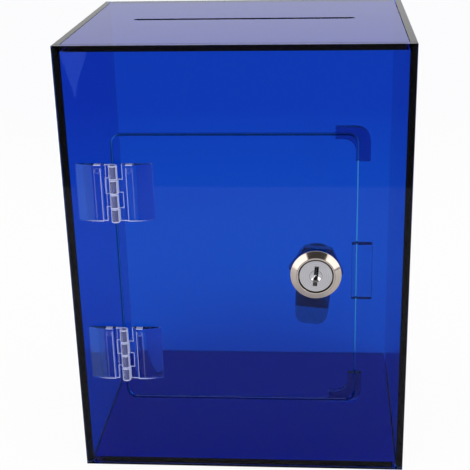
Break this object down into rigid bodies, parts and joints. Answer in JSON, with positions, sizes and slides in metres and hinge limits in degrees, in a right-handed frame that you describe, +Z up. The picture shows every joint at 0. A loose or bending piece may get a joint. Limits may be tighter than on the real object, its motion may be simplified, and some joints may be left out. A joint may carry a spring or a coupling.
{
  "type": "acrylic money box",
  "caption": "Free-standing money box of blue transparent acrylic sheet, with a note slot in the top and a cam-locked front door on clear moulded hinges.",
  "frame": {"origin": "the middle of the base's underside", "axes": "+X to the right seen from the front, +Y to the back, +Z up; the door is in the -Y face"},
  "size_m": [0.15, 0.125, 0.2],
  "materials": {
    "blue_acrylic": "clear blue cast acrylic sheet, polished faces",
    "clear_plastic": "colourless acrylic, moulded or cut from sheet, glossy",
    "bright_nickel": "bright nickel plate, polished",
    "satin_nickel": "satin nickel plate with fine turning marks",
    "zinc_plate": "bright zinc plate",
    "nickel_silver": "stamped nickel silver",
    "spring_steel": "plain spring steel"
  },
  "bodies": {
    "case": {"front_panel": "blue_acrylic", "back_panel": "blue_acrylic", "left_panel": "blue_acrylic", "right_panel": "blue_acrylic", "top_panel": "blue_acrylic", "bottom_panel": "blue_acrylic", "upper_corner_stop": "blue_acrylic", "lower_corner_stop": "blue_acrylic", "keeper_plate": "clear_plastic", "upper_hinge_frame_leaf": "clear_plastic", "lower_hinge_frame_leaf": "clear_plastic", "upper_hinge_pin": "clear_plastic", "lower_hinge_pin": "clear_plastic"},
    "door": {"door_panel": "blue_acrylic", "upper_hinge_door_leaf": "clear_plastic", "lower_hinge_door_leaf": "clear_plastic", "lock_housing": "bright_nickel", "lock_toothed_washer": "zinc_plate", "lock_nut": "zinc_plate"},
    "lock_core": {"lock_plug": "satin_nickel", "stop_washer": "zinc_plate", "cam": "zinc_plate", "cam_spring_washer": "spring_steel", "cam_screw": "zinc_plate", "wafer_spring_1": "spring_steel", "wafer_spring_2": "spring_steel", "wafer_spring_3": "spring_steel", "wafer_spring_4": "spring_steel", "wafer_spring_5": "spring_steel"},
    "wafer_1_body": {"wafer_1": "nickel_silver"},
    "wafer_2_body": {"wafer_2": "nickel_silver"},
    "wafer_3_body": {"wafer_3": "nickel_silver"},
    "wafer_4_body": {"wafer_4": "nickel_silver"},
    "wafer_5_body": {"wafer_5": "nickel_silver"}
  },
  "joints": [
    {"name": "door_swing", "type": "hinge", "parent": "case", "child": "door", "pos_m": [-0.05205, -0.0631, 0.1], "axis": [0, 0, -1], "range_deg": [0, 180]},
    {"name": "lock_turn", "type": "hinge", "parent": "door", "child": "lock_core", "pos_m": [0.0342, -0.06, 0.0997], "axis": [0, -1, 0], "range_deg": [0, 90]},
    {"name": "wafer_1_slide", "type": "slide", "parent": "lock_core", "child": "wafer_1_body", "axis": [0.0958, 0, 0.9954], "range_m": [0, 0.0008], "deforming": ["wafer_spring_1"]},
    {"name": "wafer_2_slide", "type": "slide", "parent": "lock_core", "child": "wafer_2_body", "axis": [0.0958, 0, 0.9954], "range_m": [0, 0.0008], "deforming": ["wafer_spring_2"]},
    {"name": "wafer_3_slide", "type": "slide", "parent": "lock_core", "child": "wafer_3_body", "axis": [0.0958, 0, 0.9954], "range_m": [0, 0.0008], "deforming": ["wafer_spring_3"]},
    {"name": "wafer_4_slide", "type": "slide", "parent": "lock_core", "child": "wafer_4_body", "axis": [0.0958, 0, 0.9954], "range_m": [0, 0.0008], "deforming": ["wafer_spring_4"]},
    {"name": "wafer_5_slide", "type": "slide", "parent": "lock_core", "child": "wafer_5_body", "axis": [0.0958, 0, 0.9954], "range_m": [0, 0.0008], "deforming": ["wafer_spring_5"]}
  ]
}
